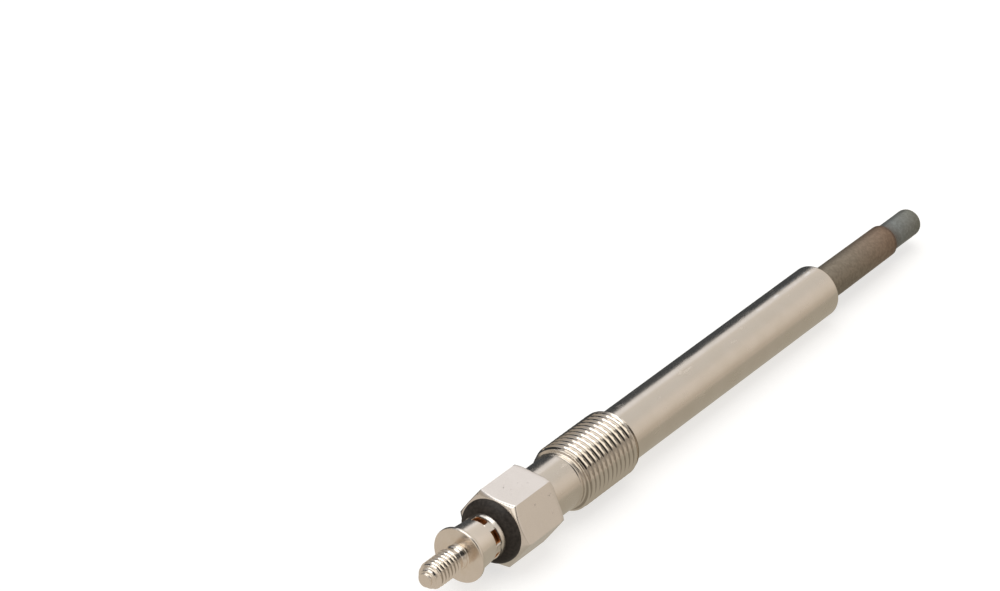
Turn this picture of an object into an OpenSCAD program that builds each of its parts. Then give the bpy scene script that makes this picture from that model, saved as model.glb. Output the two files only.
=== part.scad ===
// Diesel glow plug lying on its side, in millimetres.
// The axis runs along X: the terminal stud points to -X and the heater tip to +X.
// The origin is on the axis, halfway along the thread that screws into the cylinder head.
// Threads are plain cylinders at their major diameters.

/* [Terminal] */
// Major diameter of the thread on the terminal stud
stud_d = 3.9; // [3.4:0.1:5]
// Length of the stud, from its end to the flange face
stud_len = 7.5; // [5:0.1:12]
// Diameter of the low dome on the end of the stud
stud_end_d = 2.4; // [1.6:0.1:3]
// Height of that dome
stud_end_rise = 0.1; // [0.05:0.05:0.4]
// Length of the rounding from the dome to the full thread
stud_round_len = 1.3; // [0.5:0.1:2]
// Diameter of the flange that a cable eye seats on
flange_d = 8.1; // [7.2:0.1:10]
// Thickness of the flange at its rim
flange_t = 0.6; // [0.5:0.05:1.2]
// Rounding of the rim's two edges
flange_edge = 0.2; // [0.1:0.05:0.24]
// Diameter of the skirt that is crimped on the centre rod
skirt_d = 6.4; // [5.6:0.1:7]
// Diameter of the skirt at its flared end
skirt_end_d = 6.6; // [6.4:0.1:7.2]
// Length of the cone from the flange's back down to the skirt
flare_len = 4; // [0.6:0.1:4.5]
// Length of the terminal from its flange face to the end of its skirt
collar_len = 6.3; // [6:0.1:9]
// Thickness of metal between the flange face and the floor of the rod's socket
socket_floor = 1.3; // [0.9:0.1:2]

/* [Crimps] */
// Number of crimps pressed into the skirt
crimp_count = 6; // [3:1:8]
// Length of a crimp along the axis
crimp_len = 1.25; // [0.8:0.05:1.6]
// Width of a crimp round the skirt
crimp_w = 1.8; // [1:0.1:2.2]
// Depth of a crimp at its middle
crimp_depth = 0.45; // [0.2:0.05:0.7]
// Distance from the end of the skirt to the middle of a crimp
crimp_inset = 1.8; // [1.5:0.1:3]
// Turn of the first crimp from straight up, towards -Y
crimp_turn = 55; // [0:1:120]

/* [Insulating bush] */
// Diameter of the black flange in front of the hexagon
bush_d = 9.4; // [8.4:0.1:9.5]
// Thickness of that flange
bush_t = 1.4; // [1.3:0.1:2.5]
// Rounding of its front edge
bush_round = 1.2; // [0.3:0.1:1.2]

/* [Housing] */
// Width of the hexagon across its flats
hex_af = 10; // [9:0.5:14]
// Length of the hexagon
hex_len = 8.7; // [6:0.1:12]
// Diameter of the flat face inside the chamfer at the hexagon's terminal end
hex_face_d = 9.6; // [9.5:0.1:10]
// Diameter of the flat face inside the smaller chamfer at its other end
hex_back_face_d = 10.6; // [9.5:0.1:11]
// Slope of the hexagon's chamfers from its end faces
hex_chamfer_slope = 30; // [15:1:45]
// Diameter of the plain shank between the hexagon and the thread
shank_d = 8.1; // [7.4:0.1:8.4]
// Length of the shank, up to the full thread
shank_len = 7; // [3:0.1:15]
// Length of the run-out at the end of the shank, where the thread's ridges sink
runout_len = 1.2; // [0.5:0.1:2.5]
// Diameter of the run-out at its lower end
runout_d = 8.6; // [8.5:0.1:9]
// Major diameter of the cylinder-head thread
thread_d = 9.8; // [9.7:0.1:12]
// Length of the thread with both its chamfers
thread_len = 12; // [8:0.1:20]
// Chamfer on both ends of the thread
thread_chamfer = 0.3; // [0.2:0.05:0.35]
// Diameter of the barrel
barrel_d = 8; // [7.4:0.1:8.4]
// Length of the barrel
barrel_len = 52.3; // [42:0.1:70]
// Rounding of the barrel's front edge, which seals against the cylinder head
seat_round = 0.5; // [0.3:0.1:1]
// Diameter of the counterbore that holds the insulating bush and the O-ring
counterbore_d = 7; // [6.4:0.1:7.4]
// Depth of the counterbore, down to the cone that the O-ring seats on
counterbore_depth = 4.8; // [3.5:0.1:6]
// Length of the press fit that grips the heater sheath
grip_len = 22; // [12:0.5:26]
// Gap between the housing's bore and the part of the sheath behind the press fit
bore_gap = 0.2; // [0.1:0.05:0.4]

/* [Heater sheath] */
// Diameter of the sheath in the housing
sheath_d = 5.1; // [4.6:0.1:5.6]
// Diameter of the sheath in front of the housing, at the step
sheath_front_d = 4.95; // [4.6:0.05:5.6]
// Length of the sheath from the housing to the step
sheath_len = 18.3; // [12:0.1:26]
// Length of the sheath behind the press fit
sheath_tail_len = 2.5; // [1:0.1:4]
// Wall of the sheath
sheath_wall = 0.6; // [0.4:0.05:0.7]
// Diameter of the swaged tip
tip_d = 4.2; // [3.8:0.05:4.6]
// Length of the swaged tip, from the step to its end
tip_len = 8; // [5:0.1:12]
// Length of the cone at the step
step_len = 0.45; // [0.2:0.05:1]
// Rounding of the tip's end
tip_round = 1.2; // [0.8:0.1:1.5]
// Thickness of the closed end of the tip
tip_floor = 1.1; // [0.8:0.1:1.6]

/* [Centre rod] */
// Diameter of the rod behind the sheath
rod_d = 3.6; // [3:0.1:4]
// Diameter of the rod in the sheath
rod_front_d = 2.8; // [1.8:0.1:2.9]
// Length of the thick part that ends in front of the sheath's open end
rod_step_gap = 2; // [1:0.1:6]
// Length of the thin pin on the rod's end that the control coil is wound on
pin_len = 2.4; // [1:0.1:4]
// Length of the rubber seal in the sheath's open end
seal_len = 3; // [1.5:0.1:5]

/* [Coils] */
// Thickness of magnesia between the coils and the wall of the tip
coil_cover = 0.35; // [0.2:0.05:0.5]
// Wire of the heating coil
heating_wire = 0.36; // [0.2:0.02:0.4]
// Length of the heating coil
heating_len = 9.4; // [6:0.1:11]
// Number of turns in the heating coil
heating_turns = 12; // [6:1:14]
// Wire of the control coil
control_wire = 0.32; // [0.2:0.02:0.4]
// Length of the control coil
control_len = 10; // [6:0.1:14]
// Number of turns in the control coil
control_turns = 16; // [8:1:18]
// Gap between the two coils where they are welded end to end
weld_gap = 0.06; // [0.02:0.02:0.2]

/* [Hidden] */

// Clearance of the parts that slide together, and the depth that a cut runs past a face
fit_gap = 0.03;
past = 1;
// Facets of a full turn, of a rounding, of a coil's turn and of its wire
round_fn = 96;
arc_steps = 8;
coil_steps = 12;
wire_sides = 6;
// Turn of the first facet from straight down, so that the part lies on a facet and not on an edge
facet_turn = 3.4;

// Radii
stud_r = stud_d / 2;
stud_end_r = stud_end_d / 2;
flange_r = flange_d / 2;
skirt_r = skirt_d / 2;
bush_r = bush_d / 2;
hex_face_r = hex_face_d / 2;
hex_back_face_r = hex_back_face_d / 2;
hex_corner_r = hex_af / 2 / cos(30);
shank_r = shank_d / 2;
runout_r = runout_d / 2;
thread_r = thread_d / 2;
barrel_r = barrel_d / 2;
counterbore_r = counterbore_d / 2;
sheath_r = sheath_d / 2;
bore_r = sheath_r + bore_gap;
sheath_front_r = sheath_front_d / 2;
tip_r = tip_d / 2;
rod_r = rod_d / 2;
rod_front_r = rod_front_d / 2;
wire_r = max(heating_wire, control_wire) / 2;
coil_r = tip_r - sheath_wall - coil_cover - wire_r;
channel_r = coil_r + wire_r + fit_gap;
core_r = coil_r - wire_r - fit_gap;

// Places along the axis, from the thread's middle to the stud
x_thread_back = -thread_len / 2;
x_hex_back = x_thread_back - shank_len;
x_hex_front = x_hex_back - hex_len;
x_skirt_end = x_hex_front - bush_t;
x_flange = x_skirt_end - collar_len;
x_stud_end = x_flange - stud_len;
x_socket = x_flange + socket_floor;

// Places along the axis, from the thread's middle to the tip
x_thread_front = thread_len / 2;
x_barrel_end = x_thread_front + barrel_len;
x_step = x_barrel_end + sheath_len;
x_tip = x_step + tip_len;
x_grip = x_barrel_end - grip_len;
x_sheath_back = x_grip - sheath_tail_len;
x_seal_front = x_sheath_back + seal_len;
x_coil_front = x_tip - tip_floor;
x_coil_joint = x_coil_front - heating_len;
x_coil_back = x_coil_joint - control_len;
x_pin_end = x_coil_back + pin_len;
x_rod_step = x_sheath_back - rod_step_gap;

// The O-ring fills the counterbore round the rod and rests on the 45 degree cone at its bottom
x_cone = x_hex_front + counterbore_depth;
ring_mean_r = (counterbore_r + rod_r) / 2;
ring_wire_r = (counterbore_r - rod_r) / 2 - fit_gap;
x_ring = x_cone + counterbore_r - ring_mean_r - sqrt(2) * (ring_wire_r + fit_gap);
x_spigot_end = x_ring - ring_wire_r - fit_gap;

// Points of an elliptical arc round [radius, place], from one angle to another
function arc(centre, across, along, from, to) =
    [for (i = [0 : arc_steps])
        let (a = from + (to - from) * i / arc_steps)
        [centre[0] + across * cos(a), centre[1] + along * sin(a)]];

// Points of a round edge
function edge(centre, r, from, to) = arc(centre, r, r, from, to);

// A turned solid: its profile is a list of [radius, place along the axis]
module turned(profile) {
    rotate([0, 90, 0]) rotate([0, 0, facet_turn]) rotate_extrude($fn = round_fn) polygon(profile);
}

// One piece of steel: stud, flange and skirt, with the crimps that grip the rod
module terminal() {
    x_dome = x_stud_end + stud_end_rise;
    x_rim = x_flange + flange_t;
    rim_r = flange_r - flange_edge;
    color("silver") difference() {
        turned(concat(
            arc([0, x_dome], stud_end_r, stud_end_rise, -90, 0),
            arc([stud_end_r, x_dome + stud_round_len], stud_r - stud_end_r, stud_round_len, -80, 0),
            [[stud_r, x_flange]],
            edge([rim_r, x_flange + flange_edge], flange_edge, -90, 0),
            edge([rim_r, x_rim - flange_edge], flange_edge, 0, 90),
            [[skirt_r, x_rim + flare_len], [skirt_end_d / 2, x_skirt_end],
             [rod_r, x_skirt_end], [rod_r, x_socket], [0, x_socket]]));
        for (i = [0 : crimp_count - 1])
            rotate([crimp_turn + 360 * i / crimp_count, 0, 0])
                translate([x_skirt_end - crimp_inset - crimp_len / 2, -crimp_w / 2, skirt_r - crimp_depth])
                    cube([crimp_len, crimp_w, crimp_depth + past]);
    }
}

// Black moulded bush: its flange insulates the terminal, and its spigot holds the O-ring down
module insulating_bush() {
    color("#2a2725") turned(concat(
        [[rod_r + fit_gap, x_skirt_end]],
        edge([bush_r - bush_round, x_skirt_end + bush_round], bush_round, -90, 0),
        [[bush_r, x_hex_front], [counterbore_r - fit_gap, x_hex_front],
         [counterbore_r - fit_gap, x_spigot_end], [rod_r + fit_gap, x_spigot_end]]));
}

module o_ring() {
    color("#1c1c1c") rotate([0, 90, 0]) translate([0, 0, x_ring])
        rotate_extrude($fn = round_fn) translate([ring_mean_r, 0]) circle(ring_wire_r, $fn = 32);
}

// Hexagonal bar with a cone cut from the corners at both ends
module hexagon() {
    chamfer = (hex_corner_r - hex_face_r) * tan(hex_chamfer_slope);
    back_chamfer = (hex_corner_r - hex_back_face_r) * tan(hex_chamfer_slope);
    intersection() {
        translate([x_hex_front, 0, 0]) rotate([0, 90, 0]) rotate([0, 0, 30])
            cylinder(h = hex_len, r = hex_corner_r, $fn = 6);
        turned([[0, x_hex_front], [hex_face_r, x_hex_front], [hex_corner_r, x_hex_front + chamfer],
                [hex_corner_r, x_hex_back - back_chamfer], [hex_back_face_r, x_hex_back], [0, x_hex_back]]);
    }
}

// One piece of plated steel: hexagon, shank, thread and barrel, bored from end to end
module housing() {
    x_inside_hex = x_hex_back - hex_len / 2;
    x_runout = x_thread_back - runout_len;
    color("gainsboro") difference() {
        union() {
            hexagon();
            turned(concat(
                [[0, x_inside_hex], [shank_r, x_inside_hex], [shank_r, x_runout], [runout_r, x_runout],
                 [thread_r - thread_chamfer, x_thread_back], [thread_r, x_thread_back + thread_chamfer],
                 [thread_r, x_thread_front - thread_chamfer], [thread_r - thread_chamfer, x_thread_front],
                 [barrel_r, x_thread_front]],
                edge([barrel_r - seat_round, x_barrel_end - seat_round], seat_round, 0, 90),
                [[0, x_barrel_end]]));
        }
        turned([[0, x_hex_front - past], [counterbore_r, x_hex_front - past], [counterbore_r, x_cone],
                [bore_r, x_cone + counterbore_r - bore_r], [bore_r, x_grip - bore_gap], [sheath_r, x_grip],
                [sheath_r, x_barrel_end + past], [0, x_barrel_end + past]]);
    }
}

// Inside of the sheath from its open end to its closed tip, which the filling follows too
function sheath_inside(x_from) =
    let (inner_r = sheath_r - sheath_wall,
         step_r = sheath_front_r - sheath_wall,
         end_r = tip_r - sheath_wall,
         corner = end_r - channel_r)
    concat([[inner_r, x_from], [inner_r, x_barrel_end], [step_r, x_step], [end_r, x_step + step_len]],
           edge([channel_r, x_coil_front - corner], corner, 0, 90));

// Drawn tube of heat-proof alloy, swaged thinner at its tip and welded shut
module heater_sheath() {
    inside = sheath_inside(x_sheath_back);
    color("#8a7a6a") turned(concat(
        [[sheath_r, x_sheath_back], [sheath_r, x_barrel_end],
         [sheath_front_r, x_step], [tip_r, x_step + step_len]],
        edge([tip_r - tip_round, x_tip - tip_round], tip_round, 0, 90),
        [[0, x_tip], [0, x_coil_front]],
        [for (i = [len(inside) - 1 : -1 : 0]) inside[i]]));
}

// Rubber ring that closes the open end of the sheath round the rod
module sheath_seal() {
    color("#3a2a24") turned([[rod_front_r, x_sheath_back], [sheath_r - sheath_wall, x_sheath_back],
                             [sheath_r - sheath_wall, x_seal_front], [rod_front_r, x_seal_front]]);
}

// Steel rod that carries the current from the terminal to the coils
module centre_rod() {
    shoulder = rod_r - rod_front_r;
    color("darkgray") turned([
        [0, x_socket], [rod_r, x_socket], [rod_r, x_rod_step - shoulder], [rod_front_r, x_rod_step],
        [rod_front_r, x_coil_back], [core_r, x_coil_back], [core_r, x_pin_end], [0, x_pin_end]]);
}

// Packed magnesia: a sleeve round the rod and the coils, and a core inside the coils
module magnesia_filling() {
    color("ivory") {
        turned(concat(
            [[rod_front_r, x_seal_front]],
            sheath_inside(x_seal_front),
            [[channel_r, x_coil_back], [rod_front_r, x_coil_back]]));
        turned([[0, x_pin_end], [core_r, x_pin_end], [core_r, x_coil_front], [0, x_coil_front]]);
    }
}

// Ring of points round a coil's wire, where the helix has turned through an angle
function wire_ring(x, turn, pitch, r) =
    let (out = [0, cos(turn), sin(turn)],
         rise = pitch / (2 * PI),
         run = norm([rise, coil_r]),
         across = [coil_r, rise * sin(turn), -rise * cos(turn)] / run)
    [for (j = [0 : wire_sides - 1]) let (a = 360 * j / wire_sides)
        [x, 0, 0] + out * (coil_r + r * cos(a)) + across * r * sin(a)];

// A coil of wire between two places along the axis, as one swept solid
module coil(x_from, x_to, turns, wire) {
    steps = turns * coil_steps;
    start = x_from + wire / 2;
    travel = x_to - x_from - wire;
    rings = [for (i = [0 : steps])
        let (done = i / steps)
        wire_ring(start + travel * done, 360 * turns * done, travel / turns, wire / 2)];
    points = [for (ring = rings) each ring];
    sides = [for (i = [0 : steps - 1], j = [0 : wire_sides - 1])
        let (a = i * wire_sides, k = (j + 1) % wire_sides)
        [a + j, a + wire_sides + j, a + wire_sides + k, a + k]];
    first_cap = [for (j = [0 : wire_sides - 1]) j];
    last_cap = [for (j = [wire_sides - 1 : -1 : 0]) steps * wire_sides + j];
    polyhedron(points, concat([first_cap], sides, [last_cap]));
}

// Rear coil, whose resistance rises as it warms
module control_coil() {
    color("lightgray") coil(x_coil_back, x_coil_joint - weld_gap / 2, control_turns, control_wire);
}

// Front coil, which glows and is welded to the closed tip
module heating_coil() {
    color("darkgoldenrod") coil(x_coil_joint + weld_gap / 2, x_coil_front, heating_turns, heating_wire);
}

housing();
terminal();
insulating_bush();
o_ring();
centre_rod();
heater_sheath();
sheath_seal();
magnesia_filling();
control_coil();
heating_coil();
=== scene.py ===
"""Looks of a diesel glow plug: turned, threaded and heat-tinted meshes in the frame of its CAD solids.

Sizes are in millimetres until a mesh is finished, and in metres from then on.
The plug's axis is X: the terminal stud points to -X and the heater tip to +X.
"""

from __future__ import annotations

import logging
import math
from dataclasses import dataclass
from enum import Enum
from typing import Any, Callable, Sequence

import bmesh
import bpy
from mathutils import Matrix, Vector

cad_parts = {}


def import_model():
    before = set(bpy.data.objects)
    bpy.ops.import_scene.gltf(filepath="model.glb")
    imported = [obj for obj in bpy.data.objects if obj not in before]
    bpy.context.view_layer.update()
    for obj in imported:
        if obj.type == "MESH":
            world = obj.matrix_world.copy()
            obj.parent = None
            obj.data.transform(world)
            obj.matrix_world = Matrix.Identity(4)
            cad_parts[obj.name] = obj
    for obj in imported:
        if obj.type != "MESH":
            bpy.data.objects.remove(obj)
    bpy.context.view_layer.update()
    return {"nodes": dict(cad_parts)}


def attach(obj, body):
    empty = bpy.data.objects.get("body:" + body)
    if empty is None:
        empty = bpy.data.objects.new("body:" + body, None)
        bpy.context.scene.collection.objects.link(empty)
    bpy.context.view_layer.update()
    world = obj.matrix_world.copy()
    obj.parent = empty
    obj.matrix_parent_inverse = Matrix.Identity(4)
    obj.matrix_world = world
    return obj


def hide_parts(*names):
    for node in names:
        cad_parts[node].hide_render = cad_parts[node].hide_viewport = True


LOG = logging.getLogger("glow_plug")
MM = 0.001
NEAR = 1e-3
MERGE = 1e-5
FLANGE_FACE = -29.4
SKIRT_END = -23.1
SKIRT_LIP_R = 3.3
HEX_FRONT = -21.7
HEX_BACK = -13.0
BORE_R = 2.75
BARREL_END = 58.3
TUBE_R = 2.55
TIP_END = 84.6

Point = tuple[float, float]
Color = tuple[float, float, float]
Warp = Callable[[float, float, float], Point]


class Slot(Enum):
    """Names of material slots; no piece here takes its finish from them."""

    NICKEL_PLATE = "nickel_plate"
    BLACK_INSULATOR = "black_insulator"
    HEAT_ALLOY = "heat_alloy"


class Ease(Enum):
    """How a mask rises between its two ends."""

    LINEAR = "LINEAR"
    SMOOTH = "SMOOTHSTEP"


class Value:
    """A number in a shader, whose Python operators add Math nodes."""

    def __init__(self, nodes: Nodes, socket: bpy.types.NodeSocket) -> None:
        """Wrap one output socket of a node tree."""
        self.nodes = nodes
        self.socket = socket

    def math(self, operation: str, *operands: Value | float) -> Value:
        """Add a Math node.

        Args:
            operation: Blender's name of the operation.
            operands: values or numbers, in the order of the node's sockets.

        Returns:
            The node's result.
        """
        node = self.nodes.add("ShaderNodeMath", {"operation": operation}, dict(enumerate(operands)))
        return Value(self.nodes, node.outputs[0])

    def __add__(self, other: Value | float) -> Value:
        """Sum of two values."""
        return self.math("ADD", self, other)

    def __radd__(self, other: float) -> Value:
        """Sum with a number on the left."""
        return self.math("ADD", other, self)

    def __sub__(self, other: Value | float) -> Value:
        """Difference of two values."""
        return self.math("SUBTRACT", self, other)

    def __rsub__(self, other: float) -> Value:
        """Difference from a number on the left."""
        return self.math("SUBTRACT", other, self)

    def __mul__(self, other: Value | float) -> Value:
        """Product of two values."""
        return self.math("MULTIPLY", self, other)

    def __rmul__(self, other: float) -> Value:
        """Product with a number on the left."""
        return self.math("MULTIPLY", other, self)

    def __truediv__(self, other: Value | float) -> Value:
        """Quotient of two values."""
        return self.math("DIVIDE", self, other)

    def __pow__(self, other: Value | float) -> Value:
        """Power of a value."""
        return self.math("POWER", self, other)

    def rise(self, start: float, end: float, ease: Ease = Ease.SMOOTH) -> Value:
        """Mask that goes from 0 to 1 as the value goes from start to end.

        Args:
            start: value where the mask is 0.
            end: value where the mask is 1. It may be below start.
            ease: shape of the rise.

        Returns:
            The mask.
        """
        if end < start:
            return 1.0 - self.rise(end, start, ease)
        sockets = {"Value": self, "From Min": start, "From Max": end}
        node = self.nodes.add("ShaderNodeMapRange", {"interpolation_type": ease.value}, sockets)
        return Value(self.nodes, node.outputs[0])

    def between(self, start: float, end: float, soft: float) -> Value:
        """Mask that is 1 from start to end, with edges of a given width outside them."""
        return self.rise(start - soft, start) * self.rise(end + soft, end)


class Nodes:
    """A node tree, with one method that adds any node."""

    def __init__(self, tree: bpy.types.NodeTree) -> None:
        """Take over a tree and empty it."""
        self.tree = tree
        tree.nodes.clear()

    def add(self, kind: str, settings: dict[str, Any], sockets: dict[str | int, Any]) -> bpy.types.Node:
        """Add a node.

        Args:
            kind: Blender's type of the node.
            settings: properties that are set first. "stops" are a ramp's (place, colour) pairs.
            sockets: values or links of the inputs, by name or number.

        Returns:
            The new node.
        """
        node = self.tree.nodes.new(kind)
        for key, value in settings.items():
            if key == "stops":
                self._set_stops(node.color_ramp.elements, value)
            else:
                setattr(node, key, value)
        for key, value in sockets.items():
            source = value.socket if isinstance(value, Value) else value
            if isinstance(source, bpy.types.NodeSocket):
                self.tree.links.new(source, node.inputs[key])
            else:
                node.inputs[key].default_value = source
        return node

    def mix(self, factor: Value, first: Any, second: Any, blend: str = "MIX") -> bpy.types.NodeSocket:
        """Mix two colours.

        Args:
            factor: share of the second colour.
            first: colour or colour socket.
            second: colour or colour socket.
            blend: Blender's name of the way to blend.

        Returns:
            The mixed colour.
        """
        settings = {"data_type": "RGBA", "blend_type": blend}
        full = [(*c, 1.0) if isinstance(c, tuple) else c for c in (first, second)]
        return self.add("ShaderNodeMix", settings, {0: factor, 6: full[0], 7: full[1]}).outputs[2]

    @staticmethod
    def _set_stops(elements: bpy.types.ColorRampElements, stops: Sequence[tuple[float, Color]]) -> None:
        """Give a ramp its stops.

        Args:
            elements: stops that the ramp has.
            stops: place and colour of each stop, in rising order.
        """
        while len(elements) < len(stops):
            elements.new(1.0)
        for element, (place, color) in zip(elements, stops):
            element.position = place
            element.color = (*color, 1.0)


class Shader(Nodes):
    """A material's nodes, with patterns that follow the plug's own axes in millimetres."""

    def __init__(self, name: str) -> None:
        """Start a new material.

        Args:
            name: name of the material.
        """
        self.material = bpy.data.materials.new(name)
        self.material.use_nodes = True
        super().__init__(self.material.node_tree)
        coordinates = self.add("ShaderNodeTexCoord", {}, {})
        scale = {"Vector": coordinates.outputs["Object"], "Scale": (1 / MM,) * 3}
        self.place = self.add("ShaderNodeMapping", {}, scale).outputs[0]
        parts = self.add("ShaderNodeSeparateXYZ", {}, {0: self.place}).outputs
        self.x, self.y, self.z = (Value(self, part) for part in parts)
        self.r = (self.y * self.y + self.z * self.z) ** 0.5

    def noise(self, per_mm: float, detail: float = 3.0, stretch: Color = (1.0, 1.0, 1.0)) -> Value:
        """Cloudy pattern.

        Args:
            per_mm: waves in a millimetre.
            detail: number of finer octaves.
            stretch: factors on the waves along X, Y and Z.

        Returns:
            The pattern, about 0.5 with swings to 0.25 and 0.75.
        """
        mapped = self.add("ShaderNodeMapping", {}, {"Vector": self.place, "Scale": stretch})
        sockets = {"Vector": mapped.outputs[0], "Scale": per_mm, "Detail": detail}
        return Value(self, self.add("ShaderNodeTexNoise", {}, sockets).outputs[0])

    def bump(self, height: Value, depth_mm: float) -> bpy.types.NodeSocket:
        """Normal of a surface that is raised by a pattern from 0 to a depth."""
        sockets = {"Strength": 1.0, "Distance": depth_mm * MM, "Height": height}
        return self.add("ShaderNodeBump", {}, sockets).outputs[0]

    def close(self, **sockets: Any) -> bpy.types.Material:
        """Set the surface.

        Args:
            sockets: inputs of the surface shader, with _ for the blanks in their names.

        Returns:
            The finished material.
        """
        named = {key.replace("_", " "): value for key, value in sockets.items()}
        surface = self.add("ShaderNodeBsdfPrincipled", {}, named)
        self.add("ShaderNodeOutputMaterial", {}, {"Surface": surface.outputs[0]})
        return self.material


@dataclass(frozen=True)
class Finish:
    """A mottled surface, and what all other finishes start from."""

    name: str
    color: Color
    shade: Color
    roughness: float
    metallic: float
    mottle_per_mm: float = 0.8
    grain_per_mm: float = 14.0
    grain_mm: float = 0.004
    specular: float = 0.5

    def material(self) -> bpy.types.Material:
        """Mottled colour and roughness over a fine grain.

        Returns:
            The material.
        """
        shader = Shader(self.name)
        mottle = shader.noise(self.mottle_per_mm).rise(0.3, 0.7)
        grain = shader.noise(self.grain_per_mm, 2.0)
        return shader.close(
            Base_Color=shader.mix(mottle, self.color, self.shade),
            Roughness=self.roughness * (0.85 + 0.15 * mottle + 0.15 * grain),
            Metallic=self.metallic,
            Specular_IOR_Level=self.specular,
            Normal=shader.bump(grain, self.grain_mm),
        )


@dataclass(frozen=True)
class NickelPlate(Finish):
    """Satin nickel on turned steel: soft clouds, fine turning lines, a few pits and painted shade in the
    thread roots.
    """

    lines_mm: float = 0.0015
    pits: float = 0.0
    wear: float = 0.0
    rolled_x: Point = (0.0, 0.0)
    root_r: Point = (0.0, 0.0)
    groove_shade: Color = (0.34, 0.295, 0.24)
    groove_shade_share: float = 0.8
    pit_color: Color = (0.2, 0.19, 0.18)
    scuff_color: Color = (0.95, 0.94, 0.92)
    scuff_share: float = 0.7
    scuff_x: Point = (44.0, 56.0)
    scuff_y: Point = (0.5, 1.5)
    scuff_z: Point = (2.5, 3.0)

    def tint(self, shader: Shader, color: bpy.types.NodeSocket) -> bpy.types.NodeSocket:
        """Colour of the plate with what one piece adds to it, nothing here."""
        return color

    def material(self) -> bpy.types.Material:
        """Plate with its lines, pits, worn streaks and painted shade in the thread roots.

        Returns:
            The material.
        """
        shader = Shader(self.name)
        cloud = shader.noise(per_mm=0.28, detail=4.0).rise(0.3, 0.7)
        lines = shader.noise(per_mm=7.0, detail=2.0, stretch=(1.0, 0.06, 0.06))
        grain = shader.noise(self.grain_per_mm, detail=2.0)
        pits = shader.noise(per_mm=1.5, detail=3.0).rise(0.69, 0.75) * self.pits
        wear = shader.noise(per_mm=1.1, detail=5.0, stretch=(0.35, 1.0, 1.0)).rise(0.6, 0.72) * self.wear
        scuff = shader.noise(per_mm=2.4, detail=4.0, stretch=(0.3, 1.0, 1.0)).rise(0.52, 0.66) * self.wear
        scuff = scuff * shader.x.between(*self.scuff_x, soft=5.0)
        scuff = scuff * shader.y.between(*self.scuff_y, soft=0.6) * shader.z.rise(*self.scuff_z)
        color = shader.mix(cloud, self.color, self.shade)
        color = shader.mix(scuff * self.scuff_share, color, self.scuff_color)
        color = shader.mix(pits, color, self.pit_color)
        dull = self.roughness * (0.9 + 0.2 * cloud) + 0.05 * grain + 0.12 * wear + 0.2 * pits
        # Painted shade: the deepest part of each thread groove is darkened, standing in for the shade in
        # the roots.
        rolled = shader.x.between(*self.rolled_x, soft=0.1)
        shaded_grooves = rolled * shader.r.rise(self.root_r[1], self.root_r[0])
        color = shader.mix(self.groove_shade_share * shaded_grooves, color, self.groove_shade)
        return shader.close(
            Base_Color=self.tint(shader, color),
            Roughness=dull * (1.0 - 0.55 * rolled),
            Metallic=self.metallic,
            Normal=shader.bump(lines * 0.7 + grain * 0.3, self.lines_mm),
        )


@dataclass(frozen=True)
class TerminalPlate(NickelPlate):
    """Plate on the terminal: a painted reflection of the stud round its foot, and bare copper crimps with
    painted shade on their floors.
    """

    stud_reflection: Color = (0.72, 0.57, 0.36)
    stud_reflection_share: float = 0.2
    copper: Color = (0.62, 0.35, 0.17)
    shaded_copper: Color = (0.16, 0.075, 0.03)
    stud_reflection_r: Point = (1.9, 3.3)
    stud_reflection_x: Point = (FLANGE_FACE - 1.2, FLANGE_FACE + 0.1)
    crimp_x: Point = (-25.1, -24.2)
    crimp_r: Point = (2.8, 3.06)

    def tint(self, shader: Shader, color: bpy.types.NodeSocket) -> bpy.types.NodeSocket:
        """Lay the painted reflection of the stud on the flange, and copper with painted shade in the
        crimps.

        Args:
            shader: material in the making.
            color: colour of the plain plate.

        Returns:
            The tinted colour.
        """
        # Painted reflection: a warm patchy ring on the flange face and the stud's foot stands in for the
        # stud mirrored in the flange.
        foot = shader.x.between(*self.stud_reflection_x, soft=0.3)
        ring = shader.r.rise(self.stud_reflection_r[1], self.stud_reflection_r[0])
        patch = shader.noise(per_mm=0.5).rise(0.35, 0.65)
        color = shader.mix(foot * ring * patch * self.stud_reflection_share, color, self.stud_reflection)
        zone = shader.x.between(*self.crimp_x, soft=0.06)
        wall = zone * shader.r.rise(self.crimp_r[1] + 0.1, self.crimp_r[1])
        floor = zone * shader.r.rise(self.crimp_r[1], self.crimp_r[0])
        patchy = shader.noise(per_mm=1.6).rise(0.25, 0.75)
        # Copper on the dents' walls is bare metal; the dark brown on their floors is that copper darkened
        # as painted shade.
        color = shader.mix(wall, color, self.copper)
        return shader.mix(floor * (0.75 + 0.25 * patchy), color, self.shaded_copper)


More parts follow.
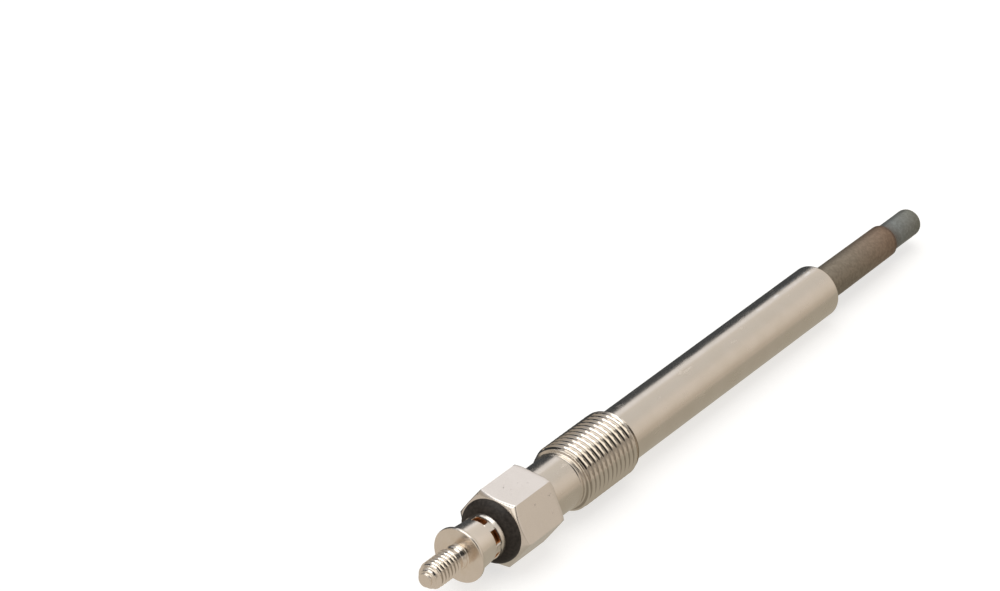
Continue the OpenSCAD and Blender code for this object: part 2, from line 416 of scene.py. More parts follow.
@dataclass(frozen=True)
class HeatAlloy(Finish):
    """Alloy tube tinted by its first heating: grey-brown, a dark ring at the step, a blue-grey tip."""

    span: Point = (56.0, TIP_END)
    ragged_mm: float = 1.1
    speck_share: float = 0.18
    tints: tuple[tuple[float, Color], ...] = (
        (58.3, (0.27, 0.235, 0.185)),
        (66.0, (0.29, 0.245, 0.19)),
        (73.5, (0.31, 0.23, 0.17)),
        (75.9, (0.265, 0.185, 0.13)),
        (76.6, (0.15, 0.105, 0.08)),
        (77.3, (0.2, 0.2, 0.19)),
        (78.6, (0.255, 0.275, 0.27)),
        (82.0, (0.26, 0.27, 0.25)),
        (84.2, (0.22, 0.225, 0.19)),
    )

    def material(self) -> bpy.types.Material:
        """Ramp of tints along the tube, broken up by scale and fine pale specks.

        Returns:
            The material.
        """
        shader = Shader(self.name)
        low, high = self.span
        ragged = shader.noise(per_mm=0.9, detail=4.0) - 0.5
        along = (shader.x + ragged * self.ragged_mm - low) / (high - low)
        stops = [((x - low) / (high - low), color) for x, color in self.tints]
        ramp = shader.add("ShaderNodeValToRGB", {"stops": stops}, {0: along})
        scale = shader.noise(per_mm=2.2, detail=5.0).rise(0.3, 0.7)
        grain = shader.noise(self.grain_per_mm, detail=3.0)
        specks = shader.noise(per_mm=5.0, detail=2.0).rise(0.66, 0.74)
        color = shader.mix(scale, ramp.outputs[0], self.shade, "MULTIPLY")
        color = shader.mix(specks * self.speck_share, color, self.color)
        return shader.close(
            Base_Color=color,
            Roughness=self.roughness + 0.06 * scale + 0.06 * grain,
            Metallic=self.metallic,
            Normal=shader.bump(grain * 0.6 + scale * 0.4, self.grain_mm),
        )


BODY_PLATE = NickelPlate(
    "body_plate", (0.76, 0.7, 0.63), (0.73, 0.67, 0.595), roughness=0.2, metallic=1.0,
    wear=1.0, rolled_x=(-6.0, 5.65), root_r=(4.52, 4.64),
)
HEX_PLATE = NickelPlate(
    "hexagon_plate", (0.835, 0.785, 0.74), (0.81, 0.76, 0.715), roughness=0.22, metallic=1.0, pits=0.5,
)
TERMINAL_PLATE = TerminalPlate(
    "terminal_plate", (0.86, 0.8, 0.73), (0.82, 0.755, 0.68), roughness=0.2, metallic=1.0,
    rolled_x=(-35.2, -31.5), root_r=(1.7, 1.76),
)
BLACK_INSULATOR = Finish(
    "black_insulator", (0.022, 0.018, 0.015), (0.045, 0.037, 0.032), roughness=0.5, metallic=0.0,
    mottle_per_mm=2.5, grain_per_mm=5.0, grain_mm=0.02, specular=0.25,
)
HEAT_ALLOY = HeatAlloy(
    "heat_alloy", (0.33, 0.31, 0.28), (0.8, 0.79, 0.78), roughness=0.44, metallic=0.75, grain_mm=0.0015,
)
SEAL_RUBBER = Finish(
    "seal_rubber", (0.03, 0.03, 0.03), (0.045, 0.043, 0.042), roughness=0.65, metallic=0.0,
    mottle_per_mm=1.2, grain_per_mm=10.0, grain_mm=0.01,
)
DRAWN_STEEL = Finish("drawn_steel", (0.56, 0.55, 0.53), (0.5, 0.48, 0.46), roughness=0.32, metallic=1.0)
MAGNESIA = Finish(
    "magnesia", (0.85, 0.82, 0.74), (0.78, 0.74, 0.65), roughness=0.9, metallic=0.0,
    mottle_per_mm=1.5, grain_per_mm=8.0, grain_mm=0.03,
)
COIL_WIRE = Finish(
    "coil_wire", (0.5, 0.48, 0.45), (0.4, 0.36, 0.32), roughness=0.38, metallic=1.0, mottle_per_mm=3.0,
)

CARRIED_OVER: dict[str, Finish] = {
    "o_ring": SEAL_RUBBER,
    "sheath_seal": SEAL_RUBBER,
    "centre_rod": DRAWN_STEEL,
    "magnesia_filling": MAGNESIA,
    "control_coil": COIL_WIRE,
    "heating_coil": COIL_WIRE,
}


def arc(
    centre: Point, across: float, along: float, start: float, end: float, steps: int,
) -> list[Point]:
    """Points of an elliptical arc in a profile.

    Args:
        centre: place along the axis and radius of the arc's centre.
        across: half axis of the arc in the radius.
        along: half axis of the arc along X.
        start: first angle in degrees, from outwards towards +X.
        end: last angle in degrees.
        steps: number of chords.

    Returns:
        The (place, radius) points.
    """
    angles = [math.radians(start + (end - start) * i / steps) for i in range(steps + 1)]
    return [(centre[0] + along * math.sin(a), centre[1] + across * math.cos(a)) for a in angles]


def run(start: float, end: float, radius: float, spacing: float) -> list[Point]:
    """Evenly spaced points along a cylinder in a profile, both ends included."""
    count = max(1, round((end - start) / spacing))
    return [(start + (end - start) * i / count, radius) for i in range(count + 1)]


class Lathe:
    """A mesh that is spun from a profile of (place along the axis, radius) points."""

    def __init__(self, profile: list[Point], steps: int, closed: bool, turn: float = 0.0) -> None:
        """Spin the profile about X.

        Args:
            profile: points from the stud's end of the outside to the tip's, then back along the inside.
            steps: faces round the axis.
            closed: whether the last point joins the first one.
            turn: angle in degrees of the first line of vertices, from +Z towards -Y.
        """
        self.bm = bmesh.new()
        chain = [self.bm.verts.new((x, 0.0, r)) for x, r in profile]
        pairs = list(zip(chain, chain[1:])) + ([(chain[-1], chain[0])] if closed else [])
        edges = [self.bm.edges.new(pair) for pair in pairs]
        around = Matrix.Rotation(math.radians(turn), 3, "X")
        bmesh.ops.rotate(self.bm, cent=(0, 0, 0), matrix=around, verts=chain)
        full = {"angle": math.tau, "steps": steps, "use_merge": True}
        bmesh.ops.spin(self.bm, geom=chain + edges, cent=(0, 0, 0), axis=(1, 0, 0), **full)

    def warp(self, shape: Warp) -> None:
        """Move every vertex in its own half plane.

        Args:
            shape: gives a new (place, radius) for a place, a radius and an angle from +Z towards -Y.
        """
        for vert in self.bm.verts:
            x, y, z = vert.co
            angle = math.atan2(-y, z)
            place, radius = shape(x, math.hypot(y, z), angle)
            vert.co = (place, -radius * math.sin(angle), radius * math.cos(angle))

    def piece(
        self, name: str, finish: Finish, node: str, sharp: float = 38.0,
    ) -> bpy.types.Object:
        """Close the mesh and put it in the scene for a CAD node.

        Args:
            name: name of the piece.
            finish: what it is dressed in.
            node: CAD node that it stands for.
            sharp: angle in degrees from which an edge isn't shaded smooth.

        Returns:
            The new object.
        """
        bmesh.ops.remove_doubles(self.bm, verts=self.bm.verts, dist=MERGE)
        bmesh.ops.recalc_face_normals(self.bm, faces=self.bm.faces)
        bmesh.ops.scale(self.bm, vec=(MM,) * 3, verts=self.bm.verts)
        for face in self.bm.faces:
            face.smooth = True
        mesh = bpy.data.meshes.new(name)
        self.bm.to_mesh(mesh)
        self.bm.free()
        mesh.set_sharp_from_angle(angle=math.radians(sharp))
        mesh.materials.append(finish.material())
        made = bpy.data.objects.new(name, mesh)
        bpy.context.scene.collection.objects.link(made)
        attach(made, "root")
        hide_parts(node)
        LOG.info("%s: %d faces, stands for %s", name, len(mesh.polygons), node)
        return made


@dataclass
class ScrewThread:
    """A right-handed thread that is cut into a spun cylinder."""

    start: float
    end: float
    major_r: float
    pitch: float
    run_out: float
    floor_r: float
    samples: int = 28
    crest: float = 0.05
    root_r: float = 0.4
    flank_deg: float = 60.0

    def profile(self) -> list[Point]:
        """Points along the blank, close enough to carry the ridges."""
        return run(self.start, self.end, self.major_r, self.pitch / self.samples)

    def cut(self, x: float, r: float, angle: float) -> Point:
        """Sink a vertex of the blank into the groove.

        Args:
            x: place along the axis.
            r: radius of the blank there.
            angle: angle from +Z towards -Y, in radians.

        Returns:
            The place and the new radius.
        """
        turned = x / self.pitch - angle / math.tau
        depth = self.pitch * self.groove(0.5 - abs(turned % 1.0 - 0.5))
        fade = min(1.0, max(0.0, (self.end - x) / self.run_out))
        return x, min(r, max(self.floor_r, r - depth * fade))

    def groove(self, off: float) -> float:
        """Form of the groove: flat crest, straight flank at 60 degrees, round root.

        Args:
            off: distance from the middle of a crest, in pitches.

        Returns:
            Depth there, in pitches.
        """
        slope = math.radians(self.flank_deg)
        flank = 0.5 - self.root_r * math.sin(slope)
        straight = math.tan(slope) * max(0.0, min(off, flank) - self.crest / 2.0)
        if off < flank:
            return straight
        return straight + math.sqrt(self.root_r ** 2 - (0.5 - off) ** 2) - self.root_r / 2.0


@dataclass
class Terminal:
    """Threaded stud, flange and crimped skirt, in one turned piece."""

    stud_end: float = -36.9
    stud_r: float = 1.95
    end_r: float = 0.98
    end_dome: float = 0.07
    end_round: float = 1.55
    end_curve: float = 1.35
    neck_r: float = 1.5
    neck: float = 2.05
    neck_edge: float = 0.06
    collar_x: float = -30.5
    ramp_size: Point = (0.5, 0.26)
    collar_centre: Point = (0.66, 0.16)
    collar_size: Point = (0.15, 0.18)
    foot_r: float = 1.62
    foot_round: float = 0.27
    face: float = FLANGE_FACE
    flange_r: float = 4.05
    flange_t: float = 0.6
    rim: float = 0.2
    flare: float = 4.0
    flare_r: float = 3.52
    skirt_r: float = 3.2
    skirt_end: float = SKIRT_END
    lip_r: float = SKIRT_LIP_R
    lip_flat: float = 0.15
    lip_flare: float = 0.75
    lip_round: float = 0.1
    socket_r: float = 1.8
    socket_wall: float = 0.5
    socket_floor: float = -28.1
    crimps: int = 6
    crimp_turn: float = 55.0
    crimp_x: Point = (-25.2, -24.25)
    crimp_deg: Point = (-16.6, 19.6)
    crimp_side_deg: float = 4.5
    crimp_floor: float = 2.75
    crimp_slant: float = 0.2
    crimp_lip: float = 0.06
    crimp_lip_deg: float = 7.0
    crimp_lip_len: float = 0.3
    steps: int = 240

    def thread(self) -> ScrewThread:
        """The stud's own thread."""
        full = self.stud_end + self.end_dome + self.end_round
        end = self.face - self.neck
        return ScrewThread(full, end, self.stud_r, pitch=0.7, run_out=0.25, floor_r=1.0, samples=24)

    def profile(self) -> list[Point]:
        """Outline from the dome along the outside to the socket's floor."""
        rim_r = self.flange_r - self.rim
        back = self.face + self.flange_t
        first, last = self.crimp_x
        start = self.stud_end + self.end_dome
        dome = arc((start, 0.0), self.end_r, self.end_dome, -90, -4, 12)
        rise = self.stud_r - self.end_r
        for x, _ in run(start + 0.02, start + self.end_round, 0.0, spacing=0.03)[:-1]:
            left = 1.0 - (x - start) / self.end_round
            dome.append((x, self.end_r + rise * (1.0 - left ** self.end_curve)))
        rim = arc((self.face + self.rim, rim_r), self.rim, self.rim, -90, 0, 6)
        rim += arc((back - self.rim, rim_r), self.rim, self.rim, 15, 90, 5)
        places = run(back + 0.15, first - 0.1, 0.0, spacing=0.3) + [(first - 0.05, 0.0)]
        places += run(first, last, 0.0, spacing=0.1) + [(last + 0.05, 0.0)]
        places += run(last + 0.2, self.skirt_end - 0.16, 0.0, spacing=0.12)
        skirt = [(x, self.skirt_at(x)) for x, _ in places]
        lip = (self.skirt_end - self.lip_round, self.lip_r - self.lip_round)
        end = arc(lip, self.lip_round, self.lip_round, 0, 90, 4)
        inside = [(self.skirt_end, self.socket_r), (self.socket_floor, self.socket_r)]
        inside += [(self.socket_floor, 0.0)]
        return dome + self.thread().profile() + self.neck_profile() + rim + skirt + end + inside

    def neck_profile(self) -> list[Point]:
        """Outline of the neck: plain, then a ramp up to a round collar, then the foot on the flange."""
        length, height = self.ramp_size
        plain = [(self.face - self.neck + self.neck_edge, self.neck_r), (self.collar_x, self.neck_r)]
        steps = (0.15, 0.3, 0.45, 0.6, 0.8, 1.0)
        ramp = [(self.collar_x + length * t, self.neck_r + height * t * t) for t in steps]
        centre = (self.collar_x + self.collar_centre[0], self.neck_r + self.collar_centre[1])
        collar = arc(centre, *self.collar_size, -40, 70, 7)
        corner = (self.face - self.foot_round, self.foot_r + self.foot_round)
        return plain + ramp + collar + arc(corner, -self.foot_round, self.foot_round, 0, 90, 7)

    def skirt_at(self, x: float) -> float:
        """Radius of the uncrimped skirt, which tapers from the flange and flares again at its end.

        Args:
            x: place along the axis.

        Returns:
            The radius there.
        """
        back = self.face + self.flange_t
        left = max(0.0, 1.0 - (x - back) / self.flare)
        lip = max(0.0, 1.0 - (self.skirt_end - self.lip_flat - x) / self.lip_flare)
        cone = (self.flare_r - self.skirt_r) * left
        return self.skirt_r + cone + (self.lip_r - self.skirt_r) * min(1.0, lip)

    def shape(self, x: float, r: float, angle: float) -> Point:
        """Cut the thread and press the crimps.

        Args:
            x: place along the axis.
            r: radius of the blank there.
            angle: angle from +Z towards -Y, in radians.

        Returns:
            The place and the new radius.
        """
        thread = self.thread()
        if self.stud_end + self.end_dome <= x <= thread.end + NEAR:
            return thread.cut(x, r, angle)
        first, last = self.crimp_x
        inside = r < self.socket_r + self.socket_wall
        if inside or not first - NEAR <= x <= last + self.crimp_lip_len:
            return x, r
        pitch = 360.0 / self.crimps
        off = (math.degrees(angle) - self.crimp_turn + pitch / 2) % pitch - pitch / 2
        upper, lower = self.crimp_deg
        if upper < off < lower and x < last + NEAR:
            side = min(1.0, (lower - off) / self.crimp_side_deg)
            sunk = side * min(1.0, (x - first) / self.crimp_slant)
            return x, r - (r - self.crimp_floor / math.cos(math.radians(off))) * sunk
        beside = max(0.0, upper - off, off - lower) / self.crimp_lip_deg
        away = math.hypot(beside, max(0.0, x - last) / self.crimp_lip_len)
        return x, r + self.crimp_lip * max(0.0, 1.0 - away)

    def build(self) -> bpy.types.Object:
        """Spin, thread and crimp the piece."""
        lathe = Lathe(self.profile(), self.steps, closed=False, turn=self.crimp_turn)
        lathe.warp(self.shape)
        return lathe.piece("terminal_dressed", TERMINAL_PLATE, "terminal")


@dataclass
class InsulatingBush:
    """Fat black ring with its spigot in the housing."""

    front: float = SKIRT_END
    back: float = HEX_FRONT
    ring_r: float = 4.7
    round_off: float = 1.2
    skirt_r: float = SKIRT_LIP_R
    hole_r: float = 1.83
    spigot_r: float = 3.47
    spigot_end: float = -18.42
    steps: int = 160

    def profile(self) -> list[Point]:
        """Closed outline, with a rounded edge from the skirt to the hexagon."""
        centre = (self.front + self.round_off, self.ring_r - self.round_off)
        face = [(self.front, self.skirt_r)]
        edge = arc(centre, self.round_off, self.round_off, -88, -4, 18)
        heel = [(self.back, self.ring_r)]
        spigot = [(self.back, self.spigot_r), (self.spigot_end, self.spigot_r)]
        spigot += [(self.spigot_end, self.hole_r)]
        return [(self.front, self.hole_r)] + face + edge + heel + spigot

    def build(self) -> bpy.types.Object:
        """Spin the ring and its spigot."""
        lathe = Lathe(self.profile(), self.steps, closed=True)
        return lathe.piece("bush_dressed", BLACK_INSULATOR, "insulating_bush", sharp=60.0)


@dataclass
class Hexagon:
    """Spanner hexagon of the housing, with a cone cut from its corners at both ends."""

    front: float = HEX_FRONT
    back: float = HEX_BACK
    flat_r: float = 5.0
    face_r: float = 4.8
    back_face_r: float = 5.3
    slope_deg: float = 30.0
    edge: float = 0.1
    edge_middle: Point = (0.12, 0.25)
    edge_high: float = 0.9
    least_break: float = 0.05
    end_len: float = 1.0
    end_share: float = 0.3
    bore_r: float = BORE_R
    counterbore_r: float = 3.5
    cone: float = -16.9
    steps: int = 360

    @property
    def corner_r(self) -> float:
        """Radius of the corners."""
        return self.flat_r / math.cos(math.pi / 6)

    @property
    def rise(self) -> float:
        """Length that a chamfer gains on each millimetre of radius."""
        return math.tan(math.radians(self.slope_deg))

    def profile(self) -> list[Point]:
        """Closed outline through a corner, with the counterbore inside."""
        face = [(self.front, self.face_r)]
        corner = run(self.front + self.end_len, self.back - self.end_len, self.corner_r, spacing=0.9)
        back_face = [(self.back, self.back_face_r)]
        inside = [(self.back, self.bore_r), (self.cone + self.counterbore_r - self.bore_r, self.bore_r)]
        inside += [(self.cone, self.counterbore_r), (self.front, self.counterbore_r)]
        return face + self.soft_edge(-1) + corner + self.soft_edge(1) + back_face + inside

    def soft_edge(self, side: int) -> list[Point]:
        """Three points that round the edge between a chamfer and the flats, through a corner.

        Args:
            side: -1 for the stud's end of the hexagon, 1 for the other one.

        Returns:
            The points, in the order of the outline.
        """
        x = self.front + (self.corner_r - self.face_r) * self.rise
        if side > 0:
            x = self.back - (self.corner_r - self.back_face_r) * self.rise
        low = (x + side * self.edge * self.rise, self.corner_r - self.edge)
        along, down = self.edge_middle
        middle = (x - side * self.edge * along, self.corner_r - self.edge * down)
        high = (x - side * self.edge * self.edge_high, self.corner_r)
        return [low, middle, high] if side < 0 else [high, middle, low]

    def shape(self, x: float, r: float, angle: float) -> Point:
        """Bring the corners' outline in to the flats.

        Args:
            x: place along the axis.
            r: radius through a corner.
            angle: angle from +Z towards -Y, in radians.

        Returns:
            The place and the new radius.
        """
        sector = math.pi / 3
        off = (angle + sector / 2) % sector - sector / 2
        drop = self.corner_r - self.flat_r / math.cos(off)
        if r < self.face_r - NEAR or (x < self.front + NEAR and r < self.face_r + NEAR):
            return x, r
        middle = (self.front + self.back) / 2
        if x < middle:
            near = (x - self.front) / (middle - self.front) < self.end_share
            return (x - drop * self.rise if near else x), r - drop
        break_r = max(self.least_break, self.corner_r - drop - self.back_face_r)
        if x > self.back - NEAR:
            return x, self.corner_r - drop - break_r
        shift = self.corner_r - self.back_face_r - break_r
        near = (self.back - x) / (self.back - middle) < self.end_share
        return (x + shift * self.rise if near else x), r - drop

    def build(self) -> bpy.types.Object:
        """Spin the hexagon and bring its flats in."""
        lathe = Lathe(self.profile(), self.steps, closed=True)
        lathe.warp(self.shape)
        return lathe.piece("hexagon_dressed", HEX_PLATE, "housing", sharp=50.0)


@dataclass
class Body:
    """Shank, head thread and barrel of the housing."""

    back: float = HEX_BACK
    shank_r: float = 4.05
    runout: float = 0.8
    thread_r: float = 4.9
    thread_half: float = 6.0
    pitch: float = 1.0
    root_wall: float = 0.1
    chamfer: float = 0.2
    barrel_r: float = 4.0
    barrel_end: float = BARREL_END
    seat: float = 0.5
    bore_r: float = BORE_R
    grip: float = 36.3
    grip_r: float = TUBE_R
    lead_in: float = 0.2
    steps: int = 160

    def thread(self) -> ScrewThread:
        """The thread that screws into the cylinder head."""
        end = self.thread_half + self.pitch
        floor_r = self.shank_r + self.root_wall
        start, major_r = -self.thread_half, self.thread_r
        return ScrewThread(start, end, major_r, self.pitch, run_out=0.4, floor_r=floor_r)

    def profile(self) -> list[Point]:
        """Closed outline with the bore and the sheath's press fit inside."""
        sink = -self.thread_half - self.runout
        places = run(sink, self.thread_half, 0.0, spacing=self.pitch / self.thread().samples)
        blank = [(x, self.blank_at(x)) for x, _ in places]
        shank = run(self.back, sink - 0.08, self.shank_r, spacing=0.6)
        barrel = run(self.thread_half, self.barrel_end - self.seat, self.barrel_r, spacing=1.5)
        centre = (self.barrel_end - self.seat, self.barrel_r - self.seat)
        seat = arc(centre, self.seat, self.seat, 6, 90, 12)
        inside = [(self.barrel_end, self.grip_r), (self.grip, self.grip_r)]
        inside += [(self.grip - self.lead_in, self.bore_r), (self.back, self.bore_r)]
        return shank + blank + barrel + seat + inside

    def blank_at(self, x: float) -> float:
        """Radius of the blank that the thread is rolled on, from its run-out to its front chamfer.

        Args:
            x: place along the axis.

        Returns:
            The radius there.
        """
        left = max(0.0, 1.0 - (x + self.thread_half + self.runout) / (2.0 * self.runout))
        back = self.thread_r - (self.thread_r - self.shank_r) * left * left
        return min(back, self.thread_r - self.chamfer + self.thread_half - x)

    def shape(self, x: float, r: float, angle: float) -> Point:
        """Roll the thread into the blank.

        Args:
            x: place along the axis.
            r: radius of the blank there.
            angle: angle from +Z towards -Y, in radians.

        Returns:
            The place and the new radius.
        """
        sink = -self.thread_half - self.runout
        outside = r > self.shank_r - 0.01
        threaded = outside and sink + NEAR < x < self.thread_half - NEAR
        return self.thread().cut(x, r, angle) if threaded else (x, r)

    def build(self) -> bpy.types.Object:
        """Spin the body and cut its thread."""
        lathe = Lathe(self.profile(), self.steps, closed=True)
        lathe.warp(self.shape)
        return lathe.piece("body_dressed", BODY_PLATE, "housing")


@dataclass
class HeaterSheath:
    """Drawn tube with a thinner, rounded tip."""

    back: float = 33.8
    barrel_end: float = BARREL_END
    step: float = 76.6
    cone: float = 0.45
    tip: float = TIP_END
    tube_r: float = TUBE_R
    front_r: float = 2.475
    tip_r: float = 2.1
    tip_round: float = 1.2
    wall: float = 0.6
    floor: float = 1.1
    floor_break: float = 0.1
    steps: int = 128

    def profile(self) -> list[Point]:
        """Outline from the open end along the outside to the tip, and back along the inside."""
        tube = run(self.back, self.barrel_end, self.tube_r, spacing=3.0)
        taper, length = self.front_r - self.tube_r, self.step - self.barrel_end
        places = run(self.barrel_end + 0.6, self.step - 0.25, 0.0, spacing=0.6)
        front = [(x, self.tube_r + taper * (x - self.barrel_end) / length) for x, _ in places]
        tip = run(self.step + self.cone + 0.7, self.tip - self.tip_round, self.tip_r, spacing=0.5)
        centre = (self.tip - self.tip_round, self.tip_r - self.tip_round)
        end = arc(centre, self.tip_round, self.tip_round, 6, 90, 12)
        end += [(self.tip, 0.4), (self.tip, 0.0)]
        bottom, bore_r = self.tip - self.floor, self.tip_r - self.wall
        inside = [(bottom, 0.0), (bottom, bore_r - self.floor_break), (bottom - self.floor_break, bore_r)]
        inside += [(self.step + self.cone, bore_r), (self.step, self.front_r - self.wall)]
        inside += [(self.barrel_end, self.tube_r - self.wall), (self.back, self.tube_r - self.wall)]
        return tube + front + self.shoulder_profile() + tip + end + inside

    def shoulder_profile(self) -> list[Point]:
        """Outline of the step down to the tip, with both its edges rounded."""
        slim, foot = self.front_r - self.tip_r, self.step + self.cone
        edge = [(self.step - 0.08, self.front_r - 0.012), (self.step + 0.05, self.front_r - 0.06)]
        cone = [(self.step + self.cone * t, self.front_r - slim * t) for t in (0.4, 0.65, 0.88)]
        return edge + cone + [(foot + 0.12, self.tip_r + 0.008), (foot + 0.3, self.tip_r)]

    def build(self) -> bpy.types.Object:
        """Spin the tube and its closed tip."""
        lathe = Lathe(self.profile(), self.steps, closed=True)
        return lathe.piece("sheath_dressed", HEAT_ALLOY, "heater_sheath", sharp=60.0)


@dataclass
class Studio:
    """Pale floor that the plug lies on, what its metal mirrors, soft light and the camera."""

    rests_back: Point = (5.7, 4.9)
    rests_front: Point = (57.8, 4.0)
    floor_mm: float = 900.0
    azimuth: float = -56.811
    elevation: float = 32.75
    roll: float = 5.265
    distance_mm: float = 639.45
    focal_px: float = 4685.7
    origin_px: Point = (585.91, 461.11)
    image_px: Point = (1000.0, 591.0)
    sensor_mm: float = 36.0
    clip_m: Point = (0.01, 20.0)
    aim_m: Color = (0.02, 0.0, 0.0)
    paper: Color = (0.5, 0.497, 0.49)
    paper_glow: Color = (0.62, 0.62, 0.62)
    table_glow: Color = (0.585, 0.52, 0.445)
    table_shade_glow: Color = (0.44, 0.405, 0.34)
    cream: Color = (1.3, 1.22, 1.08)
    navy: Color = (0.05, 0.056, 0.062)
    black: Color = (0.01, 0.01, 0.01)
    window: Color = (0.93, 0.92, 0.93)
    room: tuple[tuple[float, Color], ...] = (
        (0.0, (0.42, 0.38, 0.32)),
        (0.17, (0.52, 0.46, 0.38)),
        (0.27, (0.64, 0.57, 0.49)),
        (0.42, (0.74, 0.675, 0.6)),
        (0.62, (0.79, 0.73, 0.67)),
        (0.73, (0.68, 0.65, 0.61)),
        (1.0, (0.62, 0.62, 0.62)),
    )

    def build(self) -> None:
        """Make the floor, the cards, the light and the camera."""
        self.floor()
        self.cards()
        self.world()
        self.lamp("overhead", self.facing((0.0, 0.13, 1.0), 1.0), (1.1, 0.8), 4.6, (1.0, 0.99, 0.97))
        self.lamp("side", self.facing((-0.93, 0.2, 0.385), 0.9), (0.54, 0.21), 0.75, (1.0, 0.98, 0.95))
        self.camera()

    def cards(self) -> None:
        """Set up glowing cards that only the metal mirrors besides the room: an evenly glowing table, a
        dimmer strip as its painted shade near the plug, dark cards and a cream card.
        """
        moved = Matrix.Translation
        upright = Matrix.Rotation(math.radians(90), 4, "X")
        leaning = Matrix.Rotation(math.radians(40), 4, "X") @ Matrix.Rotation(math.radians(-22.5), 4, "Y")
        end = self.facing((-0.967, -0.12, 0.18), 500.0)
        # The table glows evenly in place of a lit table; the strip in front glows dimmer as painted shade
        # of the table near the plug.
        self.flag("table", (self.floor_mm,) * 2, self.tilt() @ moved((0, 0, 0.1)), self.table_glow)
        self.flag("table_shade_strip", (180.0, 46.0), self.tilt() @ moved((57, -17, 0.2)), self.table_shade_glow)
        self.flag("back_strip", (202.0, 62.0), self.tilt() @ moved((74, 38, 0.3)), self.navy)
        self.flag("back_flag", (280.0, 52.0), moved((100.0, 70.0, 20.0)) @ upright, self.navy)
        self.flag("high_flag", (60.0, 50.0), moved((-10.0, 70.0, 56.0)) @ upright, self.black)
        self.flag("cream_card", (180.0, 240.0), end, self.cream)
        self.flag("front_flag", (1147.0, 655.0), leaning @ moved((0.0, 0.0, 900.0)), self.black)

    @staticmethod
    def sheet(
        name: str, size: Point, matrix: Matrix, material: bpy.types.Material,
    ) -> bpy.types.Object:
        """Make a flat card that isn't part of the plug.

        Args:
            name: name of the object.
            size: its length and width in millimetres.
            matrix: turn and place of the card, in millimetres.
            material: what it is made of.

        Returns:
            The card.
        """
        bm = bmesh.new()
        bmesh.ops.create_grid(bm, x_segments=1, y_segments=1, size=0.5)
        bmesh.ops.scale(bm, vec=(size[0], size[1], 1.0), verts=bm.verts)
        bmesh.ops.transform(bm, matrix=matrix, verts=bm.verts)
        bmesh.ops.scale(bm, vec=(MM,) * 3, verts=bm.verts)
        mesh = bpy.data.meshes.new(name)
        bm.to_mesh(mesh)
        bm.free()
        mesh.materials.append(material)
        made = bpy.data.objects.new(name, mesh)
        bpy.context.scene.collection.objects.link(made)
        return made

    @staticmethod
    def facing(towards: Color, far: float) -> Matrix:
        """Turn and place of a card or a lamp that faces the origin.

        Args:
            towards: direction from the origin.
            far: distance from the origin.

        Returns:
            The matrix, in the unit of the distance.
        """
        direction = Vector(towards).normalized()
        turn = direction.to_track_quat("Z", "Y").to_matrix().to_4x4()
        return Matrix.Translation(direction * far) @ turn

    def tilt(self) -> Matrix:
        """Turn and place of the floor under the thread's end and the barrel's end."""
        (x0, r0), (x1, r1) = self.rests_back, self.rests_front
        slope = math.atan2(r0 - r1, x1 - x0)
        return Matrix.Translation((x0, 0.0, -r0)) @ Matrix.Rotation(-slope, 4, "Y")

    def floor(self) -> None:
        """Lay the floor: pale paper that keeps the plug's shadow and glows for what sees it."""
        material = self.plain("floor_paper")
        nodes = Nodes(material.node_tree)
        path = nodes.add("ShaderNodeLightPath", {}, {}).outputs
        seen = Value(nodes, path["Is Camera Ray"]) + Value(nodes, path["Is Glossy Ray"])
        seen = seen + Value(nodes, path["Is Transmission Ray"])
        paper = nodes.add("ShaderNodeBsdfDiffuse", {}, {"Color": (*self.paper, 1.0)})
        once = seen.math("MINIMUM", seen, 1.0)
        glow = nodes.add("ShaderNodeEmission", {}, {"Color": (*self.paper_glow, 1.0), "Strength": once})
        both = nodes.add("ShaderNodeAddShader", {}, {0: paper.outputs[0], 1: glow.outputs[0]})
        nodes.add("ShaderNodeOutputMaterial", {}, {"Surface": both.outputs[0]})
        self.sheet("floor", (self.floor_mm,) * 2, self.tilt(), material)

    @staticmethod
    def plain(name: str) -> bpy.types.Material:
        """An empty material with nodes."""
        material = bpy.data.materials.new(name)
        material.use_nodes = True
        return material

    def flag(self, name: str, size: Point, matrix: Matrix, color: Color) -> None:
        """Set up a glowing card that only reflections in the metal show.

        Args:
            name: name of the card.
            size: its length and width in millimetres.
            matrix: turn and place of the card, in millimetres.
            color: colour that the reflections show.
        """
        material = self.plain(name + "_reflected_glow")
        nodes = Nodes(material.node_tree)
        glowing_sheet = nodes.add("ShaderNodeEmission", {}, {"Color": (*color, 1.0), "Strength": 1.0})
        nodes.add("ShaderNodeOutputMaterial", {}, {"Surface": glowing_sheet.outputs[0]})
        made = self.sheet(name, size, matrix, material)
        made.visible_camera = False
        made.visible_diffuse = False
        made.visible_transmission = False
        made.visible_shadow = False

    def world(self) -> None:
        """Set a soft room: warm and dimmer towards the floor and the stud's end, with a pale window."""
        world = bpy.data.worlds.new("room")
        bpy.context.scene.world = world
        world.use_nodes = True
        nodes = Nodes(world.node_tree)
        ray = nodes.add("ShaderNodeTexCoord", {}, {}).outputs["Generated"]
        parts = nodes.add("ShaderNodeSeparateXYZ", {}, {0: ray}).outputs
        height = Value(nodes, parts[2]).rise(-0.2, 1.0, Ease.LINEAR)
        level = 0.6 + 0.4 * Value(nodes, parts[0]).rise(-0.3, 0.25)
        ramp = nodes.add("ShaderNodeValToRGB", {"stops": self.room}, {0: height})
        pane = Value(nodes, parts[1]).rise(0.32, 0.46) * Value(nodes, parts[2]).rise(0.25, 0.45)
        room = nodes.mix(pane, ramp.outputs[0], self.window)
        back = nodes.add("ShaderNodeBackground", {}, {"Color": room, "Strength": level})
        nodes.add("ShaderNodeOutputWorld", {}, {"Surface": back.outputs[0]})

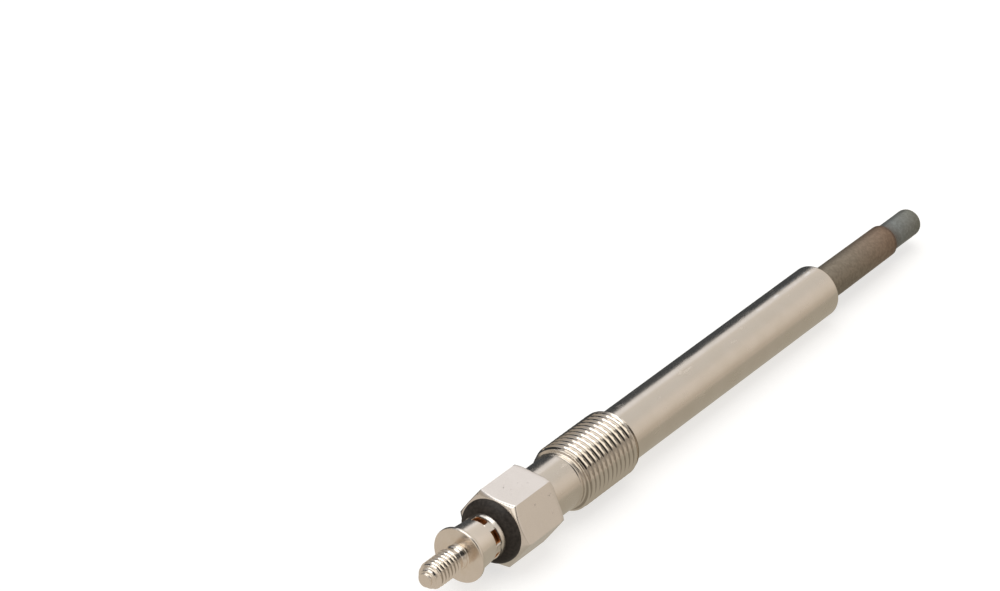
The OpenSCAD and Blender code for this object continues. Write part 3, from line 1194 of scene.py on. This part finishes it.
    def lamp(self, name: str, matrix: Matrix, size: Point, watts: float, color: Color) -> None:
        """Hang a soft lamp that faces the plug.

        Args:
            name: name of the lamp.
            matrix: turn and place of the lamp from the plug's middle, in metres.
            size: length and width of the lamp in metres.
            watts: power.
            color: tint of its light.
        """
        data = bpy.data.lights.new(name, "AREA")
        data.shape = "RECTANGLE"
        data.size, data.size_y = size
        data.energy = watts
        data.color = color
        made = bpy.data.objects.new(name, data)
        bpy.context.scene.collection.objects.link(made)
        made.matrix_world = Matrix.Translation(self.aim_m) @ matrix

    def camera(self) -> None:
        """Set the camera where the photographer's stood."""
        azimuth, elevation, roll = (math.radians(a) for a in (self.azimuth, self.elevation, self.roll))
        level = math.cos(elevation)
        back = Vector((math.sin(azimuth) * level, -math.cos(azimuth) * level, math.sin(elevation)))
        right = Vector((0, 0, 1)).cross(back).normalized()
        above = back.cross(right)
        across = math.cos(roll) * right + math.sin(roll) * above
        up = math.cos(roll) * above - math.sin(roll) * right
        off_px = [origin - side / 2 for origin, side in zip(self.origin_px, self.image_px)]
        shift = [px / self.focal_px * self.distance_mm for px in off_px]
        place = back * self.distance_mm - across * shift[0] + up * shift[1]
        data = bpy.data.cameras.new("camera")
        data.sensor_width = self.sensor_mm
        data.lens = self.focal_px * self.sensor_mm / self.image_px[0]
        data.clip_start, data.clip_end = self.clip_m
        made = bpy.data.objects.new("camera", data)
        bpy.context.scene.collection.objects.link(made)
        turn = Matrix((across, up, back)).transposed().to_4x4()
        made.matrix_world = Matrix.Translation(place * MM) @ turn
        bpy.context.scene.camera = made


def dress_carried_over(nodes: dict[str, bpy.types.Object]) -> None:
    """Give every inner CAD node that stays its own finish.

    Args:
        nodes: CAD nodes by name.
    """
    made: dict[str, bpy.types.Material] = {}
    for name, finish in CARRIED_OVER.items():
        if finish.name not in made:
            made[finish.name] = finish.material()
        nodes[name].data.materials.clear()
        nodes[name].data.materials.append(made[finish.name])
        LOG.info("%s: carried over in %s", name, finish.name)


def main() -> None:
    """Build the plug and the studio."""
    logging.basicConfig(level=logging.INFO, format="%(name)s: %(message)s")
    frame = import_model()
    bpy.context.scene.view_settings.view_transform = "Standard"
    for part in (Terminal(), InsulatingBush(), Hexagon(), Body(), HeaterSheath()):
        part.build()
    dress_carried_over(frame["nodes"])
    Studio().build()


if __name__ == "__main__":
    main()
